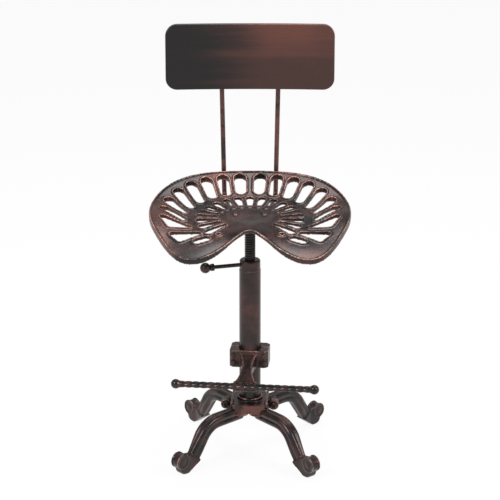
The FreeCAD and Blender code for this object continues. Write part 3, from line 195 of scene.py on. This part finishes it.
camera_place = Vector((0, -4.0, 1.78))
camera_aim = Vector((0, 0, 0.441))
camera_data = bpy.data.cameras.new("studio_camera")
camera_data.lens = 147.96
camera_data.sensor_width = 36
camera = bpy.data.objects.new("studio_camera", camera_data)
camera.location = camera_place
camera.rotation_euler = (camera_aim - camera_place).to_track_quat("-Z", "Y").to_euler()
bpy.context.scene.collection.objects.link(camera)
bpy.context.scene.camera = camera
bpy.context.scene.view_settings.view_transform = "Standard"


# Base: two iron castings, front and rear, each with two reeded legs that end in scroll feet.
# They come from a sand mould, so their edges are soft, and they are painted in antique copper.

def antique_copper(name, cloud=0.07, copper=0.45, grain=0.5, edge=0.0022, rough=0.36):
    """Dark brown paint rubbed through to copper on the edges and in broad clouds. The edge is how
    far wear reaches in from it. Without one, the mesh's own sharpness says where the wear is."""
    finish = Finish(name)
    near_black = (0.008, 0.0056, 0.0056)
    brown = (0.042, 0.018, 0.0155)
    red_copper = (0.135, 0.052, 0.041)
    bare_copper = (0.60, 0.34, 0.28)
    speck_size, scuff_size, corner_width, bump_depth = 0.004, 0.018, 0.012, 0.0006
    # The second share says how dark the painted shade in the corners gets.
    wear_share, painted_shade_share = 0.62, 0.7
    clouds = finish.noise(cloud, detail=4, roughness=0.6)
    specks = finish.noise(speck_size, detail=5, roughness=0.7)
    scuffs = finish.noise(scuff_size, detail=6, roughness=0.65)
    colour = finish.blend(clouds.between(0.36, 0.66), near_black, brown)
    spread = copper * 0.3
    warm = (clouds * 0.6 + scuffs * 0.4).between(0.62 - spread, 0.86 - spread)
    colour = finish.blend(warm * (0.35 + copper), colour, red_copper)
    open_air = finish.open_air(corner_width)
    if edge:
        ridge = finish.sharp_edge(edge).between(0.01, 0.12) * open_air.between(0.45, 0.8)
    else:
        ridge = finish.node("ShaderNodeNewGeometry", output="Pointiness").between(0.508, 0.56)
    rubbed = ridge * (clouds * 0.5 + scuffs * 0.5 + specks * 0.2).between(0.48, 0.7)
    colour = finish.blend(rubbed * wear_share, colour, bare_copper)
    # Painted shade: the colour is darkened towards near black in narrow corners and hollows, where
    # the ambient occlusion finds little open air.
    painted_shade = (1 - open_air).between(0.35, 0.95) * painted_shade_share
    colour = finish.blend(painted_shade, colour, near_black)
    finish.surface({
        "Base Color": colour,
        "Roughness": rough + (clouds - 0.5) * 0.25 + (specks - 0.5) * 0.2,
        "Metallic": 0.35 + rubbed * 0.5 + warm * 0.25,
        "Coat Weight": 0.1,
        "Coat Roughness": 0.12,
        "Normal": finish.relief(specks * 0.6 + scuffs * 0.5, strength=grain, depth=bump_depth),
    })
    return finish.material


def paint(thing, material):
    """Gives a piece or a CAD node its finish."""
    if not thing.material_slots:
        thing.data.materials.append(material)
    for slot in thing.material_slots:
        slot.link = "OBJECT"
        slot.material = material


weld_gap = 0.00001


def open_mesh(piece):
    """Opens a piece in edit mode with its whole mesh selected."""
    select_only(piece)
    bpy.ops.object.mode_set(mode="EDIT")
    bpy.ops.mesh.select_all(action="SELECT")


def close_mesh_outwards():
    """Turns the open mesh's faces outwards and leaves edit mode."""
    bpy.ops.mesh.select_all(action="SELECT")
    bpy.ops.mesh.normals_make_consistent(inside=False)
    bpy.ops.object.mode_set(mode="OBJECT")


def closed_copy(node, name):
    """A copy of a CAD node's mesh as one closed skin."""
    copy = bpy.data.objects.new(name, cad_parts[node].data.copy())
    bpy.context.scene.collection.objects.link(copy)
    open_mesh(copy)
    bpy.ops.mesh.remove_doubles(threshold=weld_gap)
    bpy.ops.object.mode_set(mode="OBJECT")
    return copy


def moved_copy(piece, move):
    """A copy of a piece with a mesh of its own, moved by a matrix."""
    copy = piece.copy()
    copy.data = piece.data.copy()
    bpy.context.scene.collection.objects.link(copy)
    copy.data.transform(move)
    return copy


def apply_modifier(piece, kind, **settings):
    """Adds a modifier, sets it and applies it."""
    modifier = piece.modifiers.new(kind.lower(), kind)
    for name, value in settings.items():
        setattr(modifier, name, value)
    select_only(piece)
    bpy.ops.object.modifier_apply(modifier=modifier.name)


def sand_cast(piece, cell, rounds):
    """Melts the parts of a piece into one skin, and smooths it for some rounds."""
    apply_modifier(piece, "REMESH", mode="VOXEL", voxel_size=cell, use_smooth_shade=True)
    apply_modifier(piece, "SMOOTH", factor=0.5, iterations=rounds)


def join(pieces):
    """Joins the later pieces into the first."""
    select_only(pieces[0])
    for piece in pieces[1:]:
        piece.select_set(True)
    bpy.ops.object.join()
    return pieces[0]


def foot_scroll():
    """A raised spiral on both sides of a foot, in the leg's own plane: X outward."""
    reach, height, half_width = 0.197, 0.030, 0.0093
    bead, start_radius, shift = 0.0017, 0.0128, 0.0011
    half_turns, thinning = 4, 0.9
    bpy.ops.object.select_all(action="DESELECT")
    bpy.ops.mesh.primitive_circle_add(vertices=8, radius=bead, fill_type="NGON",
                                      location=(reach - start_radius, -half_width, height))
    scroll = bpy.context.object
    open_mesh(scroll)
    for turn in range(half_turns):
        side = -1 if turn % 2 else 1
        middle = (reach + side * shift * 0.5, -half_width, height)
        bpy.ops.mesh.spin(steps=8, angle=math.pi, center=middle, axis=(0, 1, 0))
        bpy.ops.transform.resize(value=(thinning, thinning, thinning))
    bpy.ops.mesh.select_all(action="SELECT")
    bpy.ops.mesh.remove_doubles(threshold=weld_gap)
    close_mesh_outwards()
    bpy.ops.object.transform_apply(location=True, rotation=True, scale=True)
    return join([scroll, moved_copy(scroll, Matrix.Translation((0, 2 * half_width, 0)))])


def shape_feet(casting, angles):
    """Narrows each foot to its toe, draws its heel in and rounds it, in the leg's own plane."""
    start, end, toe_share = 0.146, 0.172, 0.64
    heel, sole = Vector((0.1555, 0, 0.0185)), Vector((0.181, 0, 0))
    beside_leg, rounds = 0.04, 22
    slope = (sole - heel).normalized()
    inward = Vector((-slope.z, 0, slope.x))
    feet = casting.vertex_groups.new(name="feet")
    for angle in angles:
        turned = Matrix.Rotation(math.radians(angle), 3, "Z")
        unturned = turned.inverted()
        for corner in casting.data.vertices:
            local = unturned @ corner.co
            if local.x > start and abs(local.y) < beside_leg:
                along = min((local.x - start) / (end - start), 1)
                local.y *= 1 - (1 - toe_share) * along
                depth = (local - heel).dot(inward)
                if depth < 0 and local.x < sole.x:
                    local -= inward * depth
                corner.co = turned @ local
                feet.add([corner.index], along, "REPLACE")
    apply_modifier(casting, "SMOOTH", factor=0.5, iterations=rounds, vertex_group="feet")


leg_spread, base_turn = 47, -3.5
leg_angles = [180 + leg_spread + base_turn, 360 - leg_spread + base_turn]
casting_cell = 0.0012
casting_paint = antique_copper("casting_copper", cloud=0.045, copper=0.40, grain=0.5, edge=None,
                               rough=0.3)
pattern = foot_scroll()
for node, turn in (("base_front_casting", 0), ("base_rear_casting", 180)):
    casting = closed_copy(node, node.replace("_casting", "_legs"))
    angles = [angle + turn for angle in leg_angles]
    scrolls = [moved_copy(pattern, Matrix.Rotation(math.radians(angle), 4, "Z"))
               for angle in angles]
    sand_cast(casting, cell=0.0013, rounds=2)
    shape_feet(casting, angles)
    casting = join([casting] + scrolls)
    sand_cast(casting, casting_cell, rounds=4)
    paint(casting, casting_paint)
    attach(casting, "base")
    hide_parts(node)
bpy.data.objects.remove(pattern)


# Hub aprons: the scalloped skirt of each casting, two round lobes with a peak between them and a
# bead along the lower edge. Cast with the legs, rubbed to copper.

def scalloped_apron(name, turn):
    """A skirt of two lobes in front of the hub, with a beaded edge, turned about the column."""
    half_width, lobe, rise = 0.034, 0.017, 0.0105
    low_height, top_height, face = 0.0895, 0.1125, -0.0445
    bow, swell_depth, wall = 0.0025, 0.0012, 0.005
    bead_radius, bead_rise, bead_stand = 0.0013, 0.0008, 0.0014
    columns, rows = 64, 6

    def lower_edge(x):
        """The height of the skirt's lower edge, a half round lobe on each side."""
        round_off = math.sqrt(max(1 - ((abs(x) - lobe) / lobe) ** 2, 0))
        return low_height + rise * (1 - round_off)

    bpy.ops.object.select_all(action="DESELECT")
    bpy.ops.mesh.primitive_grid_add(x_subdivisions=columns, y_subdivisions=rows, size=2)
    apron = bpy.context.object
    apron.name = name
    for corner in apron.data.vertices:
        across, up = corner.co.x, (corner.co.y + 1) / 2
        x = across * half_width
        low = lower_edge(x)
        swell = swell_depth * (1 - up) ** 2
        corner.co = (x, face + bow * across * across - swell, low + (top_height - low) * up)
    apply_modifier(apron, "SOLIDIFY", thickness=wall, offset=-1)
    bead = bpy.data.curves.new(name + "_bead", "CURVE")
    bead.dimensions = "3D"
    bead.bevel_depth = bead_radius
    bead.use_fill_caps = True
    line = bead.splines.new("POLY")
    line.points.add(columns)
    for index, point in enumerate(line.points):
        x = half_width * (index / columns * 2 - 1)
        y = face - bead_stand + bow * (x / half_width) ** 2
        point.co = (x, y, lower_edge(x) + bead_rise, 1)
    trim = bpy.data.objects.new(name + "_bead", bead)
    bpy.context.scene.collection.objects.link(trim)
    select_only(trim)
    bpy.ops.object.convert(target="MESH")
    apron = join([apron, bpy.context.object])
    sand_cast(apron, cell=0.0007, rounds=4)
    apron.data.transform(Matrix.Rotation(math.radians(turn), 4, "Z"))
    return apron


apron_paint = antique_copper("apron_copper", cloud=0.03, copper=0.95, grain=0.6, edge=None,
                             rough=0.34)
for name, turn in (("front_apron", base_turn), ("rear_apron", base_turn + 180)):
    apron = scalloped_apron(name, turn)
    paint(apron, apron_paint)
    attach(apron, "base")


# Base fixings: two zinc bolts with washers and nuts through the ears, and under the hub a tie
# plate, washer and centre bolt that pull the column down.

def dull_steel(name, tone, rough=0.42):
    """Plated steel with fine scratches, cloudy, and a little darker in its corners, which is
    painted shade.
    """
    finish = Finish(name)
    cloud_size, scratch_size, corner_width = 0.012, 0.0015, 0.006
    edge_width, bump_depth = 0.0008, 0.0003
    wear_share, painted_shade_share = 0.7, 0.6
    clouds = finish.noise(cloud_size, detail=4)
    scratches = finish.noise(scratch_size, detail=6, roughness=0.8)
    open_air = finish.open_air(corner_width)
    edge = finish.sharp_edge(edge_width, samples=4).between(0.02, 0.2) * open_air
    dark = tuple(part * 0.45 for part in tone)
    light = tuple(min(part * 2.6, 1) for part in tone)
    colour = finish.blend(clouds.between(0.35, 0.65), dark, tone)
    colour = finish.blend(edge * wear_share, colour, light)
    # Painted shade: corners that the ambient occlusion finds closed in are darkened towards the
    # dark tone.
    colour = finish.blend((1 - open_air).between(0.3, 0.9) * painted_shade_share, colour, dark)
    finish.surface({
        "Base Color": colour,
        "Roughness": rough + (scratches - 0.5) * 0.3,
        "Metallic": 0.8,
        "Normal": finish.relief(scratches, strength=0.25, depth=bump_depth),
    })
    return finish.material


bolt_steel = dull_steel("bolt_steel", (0.1, 0.062, 0.052))
for node in ("base_bolts", "base_washers", "base_nuts", "hub_tie_plate", "centre_washer",
             "centre_bolt", "tube_plug"):
    paint(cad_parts[node], bolt_steel)


# Column socket: a square iron casting on the hub, with a ring round the tube's foot and a bead
# along two of its sides.

socket = closed_copy("column_socket", "column_socket_casting")
sand_cast(socket, casting_cell, rounds=4)
paint(socket, casting_paint)
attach(socket, "base")
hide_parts("column_socket")


# Column: a drawn steel tube with a turned collar in its top, both painted in the same copper, a
# little smoother than the castings.

tube_paint = antique_copper("tube_copper", cloud=0.09, copper=0.4, grain=0.22, edge=0.0016,
                            rough=0.3)
for node in ("column_tube", "collar_nut"):
    paint(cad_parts[node], tube_paint)


# Foot rest clamp and arm: two iron castings bolted round the tube, the front one with a channelled
# arm that runs down to the bar.

rest_turn, bar_height, bar_reach = -6.5, 0.177, 0.095


def open_cradle(casting):
    """Opens the boss at the arm's end in front, so that the bar lies in a half round cradle."""
    turned = Matrix.Rotation(math.radians(rest_turn), 3, "Z")
    unturned = turned.inverted()
    front = Vector((0, -0.94, 0.34))
    boss_radius, inside_bar, front_share = 0.0125, 0.0045, 0.1
    for corner in casting.data.vertices:
        local = unturned @ corner.co
        out = Vector((0, local.y + bar_reach, local.z - bar_height))
        in_front = out.normalized().dot(front) > front_share
        if inside_bar < out.length < boss_radius and in_front:
            pulled = out.normalized() * inside_bar
            corner.co = turned @ Vector((local.x, pulled.y - bar_reach, pulled.z + bar_height))


for node, name in (("footrest_bracket", "footrest_arm_casting"),
                   ("footrest_clamp", "footrest_rear_casting")):
    casting = closed_copy(node, name)
    sand_cast(casting, casting_cell, rounds=4)
    if node == "footrest_bracket":
        open_cradle(casting)
    paint(casting, casting_paint)
    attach(casting, "footrest")
    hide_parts(node)
for node in ("footrest_bolts", "footrest_nuts"):
    paint(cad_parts[node], bolt_steel)


# Foot rest bar: a rounded square steel bar, twisted cold and painted. It lies in the arm's cradle,
# and a ball with its neck is screwed on each end.

bar_length, bar_radius = 0.270, 0.007
twist_pitch, flat_depth, flat_power = 0.0153, 0.2, 1.4
steps = 150
bpy.ops.object.select_all(action="DESELECT")
bpy.ops.mesh.primitive_circle_add(vertices=32, radius=bar_radius, fill_type="NGON",
                                  location=(0, 0, -bar_length / 2))
bar = bpy.context.object
bar.name = "twisted_bar"
for corner in bar.data.vertices:
    angle = math.atan2(corner.co.y, corner.co.x)
    corner.co *= 1 - flat_depth * (1 - abs(math.cos(2 * angle)) ** flat_power)
open_mesh(bar)
turn_step = math.pi / 2 * bar_length / twist_pitch / steps
for step in range(steps):
    bpy.ops.mesh.extrude_region_move(
        TRANSFORM_OT_translate={"value": (0, 0, bar_length / steps)})
    bpy.ops.transform.rotate(value=turn_step, orient_axis="Z", center_override=(0, 0, 0))
close_mesh_outwards()
bpy.ops.object.transform_apply(location=True, rotation=True, scale=True)
lay_down = Matrix.Rotation(math.pi / 2, 4, "Y")
put = Matrix.Rotation(math.radians(rest_turn), 4, "Z")
put = put @ Matrix.Translation((0, -bar_reach, bar_height))
bar.data.transform(put @ lay_down)
select_only(bar)
bpy.ops.object.shade_smooth_by_angle(angle=math.radians(40))
bar_paint = antique_copper("bar_copper", cloud=0.03, copper=0.25, grain=0.3, edge=0.0024,
                           rough=0.26)
paint(bar, bar_paint)
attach(bar, "footrest")
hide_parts("footrest_bar")
paint(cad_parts["footrest_balls"], bar_paint)


# Lifting screw: an oiled black steel screw of 5 mm pitch. It turns in the collar, and its plain
# journal carries the guide bush inside the tube.

screw_bottom, screw_top = 0.272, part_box("spindle")[1][2]
journal_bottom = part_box("spindle")[0][2]
crest, root, pitch = 0.0112, 0.0092, 0.005
journal_radius, core_radius, chamfer = 0.007, root + 0.0001, 0.0006
sides, round_sides = 28, 48
turns = round((screw_top - screw_bottom) / pitch)
lead = (screw_top - screw_bottom) / turns
# One thread's outline: how far out, and at what share of the lead.
profile = [(root, 0), (root, 0.22), (crest, 0.4), (crest, 0.78), (root, 0.96), (root, 1)]
bpy.ops.object.select_all(action="DESELECT")
bpy.ops.mesh.primitive_plane_add(size=1, location=(0, 0, 0))
screw = bpy.context.object
screw.name = "threaded_spindle"
open_mesh(screw)
bpy.ops.mesh.delete(type="VERT")
bpy.ops.object.mode_set(mode="OBJECT")
screw.data.from_pydata([(out, 0, screw_bottom + along * lead) for out, along in profile],
                       [(index, index + 1) for index in range(len(profile) - 1)], [])
apply_modifier(screw, "SCREW", angle=2 * math.pi, screw_offset=lead, iterations=turns - 1,
               steps=sides, render_steps=sides, axis="Z", use_merge_vertices=True,
               merge_threshold=weld_gap)
round_parts = []
for radius, low, high in ((journal_radius, journal_bottom, screw_bottom),
                          (core_radius, screw_bottom, screw_top)):
    bpy.ops.mesh.primitive_cylinder_add(vertices=round_sides, radius=radius, depth=high - low,
                                        location=(0, 0, (low + high) / 2))
    round_parts.append(bpy.context.object)
for part in round_parts:
    open_mesh(part)
    bpy.ops.mesh.bevel(offset=chamfer, segments=2, affect="EDGES")
    bpy.ops.object.mode_set(mode="OBJECT")
    bpy.ops.object.transform_apply(location=True, rotation=True, scale=True)
screw = join([screw] + round_parts)
open_mesh(screw)
close_mesh_outwards()
bpy.ops.object.shade_smooth_by_angle(angle=math.radians(35))
paint(screw, dull_steel("oiled_steel", (0.035, 0.03, 0.03), rough=0.34))
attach(screw, "seat")
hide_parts("spindle")
for node in ("spindle_end_washer", "spindle_end_screw"):
    paint(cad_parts[node], bolt_steel)


# Guide bush: turned from natural nylon, with faint rings from the lathe. It slides in the tube and
# keeps the screw upright.

def lathe_finish(name, tone, metal, rough):
    """A plain turned surface with fine rings and a little cloud."""
    finish = Finish(name)
    cloud_size, ring_scale, bump_depth = 0.01, 400.0, 0.0002
    clouds = finish.noise(cloud_size, detail=3)
    place = finish.node("ShaderNodeTexCoord", output="Object")
    rings = finish.node("ShaderNodeTexWave", {"bands_direction": "Z"},
                        {"Vector": place, "Scale": ring_scale}, "Fac")
    dark = tuple(part * 0.8 for part in tone)
    finish.surface({
        "Base Color": finish.blend(clouds.between(0.3, 0.7), dark, tone),
        "Roughness": rough + (clouds - 0.5) * 0.2,
        "Metallic": metal,
        "Normal": finish.relief(rings, strength=0.2, depth=bump_depth),
    })
    return finish.material


turned_nylon = lathe_finish("turned_nylon", (0.7, 0.69, 0.64), metal=0.0, rough=0.45)
paint(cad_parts["guide_bush"], turned_nylon)


# Lock lever: a painted steel rod with a ball knob, screwed in through the collar's side. It presses
# a turned brass pad on the lifting screw.

lever_paint = antique_copper("lever_copper", cloud=0.02, copper=0.35, grain=0.2, edge=0.0012,
                             rough=0.3)
for node in ("lock_rod", "lock_knob"):
    paint(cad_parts[node], lever_paint)
turned_brass = lathe_finish("turned_brass", (0.62, 0.42, 0.14), metal=1.0, rough=0.3)
paint(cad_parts["lock_pad"], turned_brass)


# Seat pan: one iron casting with a dished face, pierced by two rows of slots. Each slot and the rim
# have a raised bead, which is rubbed bright.

bead_width, bead_rise, upward = 0.0032, 0.0024, 0.35
pan = closed_copy("seat_pan", "seat_casting")
bpy.ops.object.mode_set(mode="EDIT")
bpy.ops.mesh.select_all(action="DESELECT")
bpy.ops.object.mode_set(mode="OBJECT")
for face in pan.data.polygons:
    face.select = face.normal.z > upward
bpy.ops.object.mode_set(mode="EDIT")
bpy.ops.mesh.inset(thickness=bead_width, use_boundary=True, use_even_offset=False,
                   use_select_inset=True)
bpy.ops.mesh.extrude_region_shrink_fatten(TRANSFORM_OT_shrink_fatten={"value": bead_rise})
bpy.ops.object.mode_set(mode="OBJECT")
sand_cast(pan, cell=0.0017, rounds=2)
paint(pan, antique_copper("seat_copper", cloud=0.13, copper=0.5, grain=0.14, edge=None,
                          rough=0.25))
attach(pan, "seat")
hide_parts("seat_pan")


# Seat fixing: two plated bolts through the pan with washers and nuts. They hold the rods' flat
# plate and the screw's flange under it, both painted like the column.

for node in ("seat_bolts", "seat_washers", "seat_nuts"):
    paint(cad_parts[node], bolt_steel)
for node in ("back_bracket", "spindle_flange"):
    paint(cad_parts[node], tube_paint)


# Back rest: two bent rods and a pressed sheet with a turned edge, all painted. The sheet's face is
# rubbed to copper at its right side.

rod_paint = antique_copper("rod_copper", cloud=0.05, copper=0.8, grain=0.1, edge=0.0012, rough=0.2)
for node in ("back_rod_left", "back_rod_right", "back_panel_bosses"):
    paint(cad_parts[node], rod_paint)
paint(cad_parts["back_panel_screws"], bolt_steel)


def brushed_panel():
    """Paint wiped sideways while wet: near black at the left, copper at the upper right."""
    finish = Finish("panel_copper")
    near_black, brown = (0.009, 0.0072, 0.0072), (0.052, 0.022, 0.018)
    red_copper, bare_copper = (0.17, 0.064, 0.05), (0.75, 0.5, 0.44)
    wipe_stretch, cloud_size, edge_width, bump_depth = (2.2, 6, 34), 0.12, 0.002, 0.0003
    place = finish.node("ShaderNodeTexCoord", output="Object")
    across = finish.node("ShaderNodeSeparateXYZ", {}, {0: place}, "X")
    up = finish.node("ShaderNodeSeparateXYZ", {}, {0: place}, "Z")
    wiped = finish.node("ShaderNodeMapping", {}, {"Vector": place, "Scale": wipe_stretch})
    streaks = finish.node("ShaderNodeTexNoise", {},
                          {"Vector": wiped, "Scale": 1.6, "Detail": 5, "Roughness": 0.6})
    fine = finish.node("ShaderNodeTexNoise", {},
                       {"Vector": wiped, "Scale": 14, "Detail": 6, "Roughness": 0.7})
    clouds = finish.noise(cloud_size, detail=2)
    # Across and up are metres on the part, so these are places on the sheet.
    side = across.between(-0.17, 0.15)
    colour = finish.blend((side + (streaks - 0.5) * 0.7).between(0.05, 0.7), near_black, brown)
    right_part = across.between(-0.04, 0.06) * (1 - across.between(0.09, 0.17) * 0.75)
    corner = right_part * up.between(0.79, 0.85)
    patchy = corner * 0.75 + side * 0.1 + (streaks - 0.5) * 0.8 + (clouds - 0.5) * 0.9
    warm = patchy.between(0.05, 1.0)
    colour = finish.blend(warm * 0.85, colour, red_copper)
    rubbed = finish.sharp_edge(edge_width).between(0.01, 0.12) * (side + fine).between(0.35, 1.1)
    colour = finish.blend(rubbed * 0.6, colour, bare_copper)
    finish.surface({
        "Base Color": colour,
        "Roughness": 0.3 + (fine - 0.5) * 0.25,
        "Metallic": 0.4 + warm * 0.3,
        "Coat Weight": 0.08,
        "Coat Roughness": 0.15,
        "Normal": finish.relief(fine, strength=0.12, depth=bump_depth),
    })
    return finish.material


paint(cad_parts["backrest_panel"], brushed_panel())
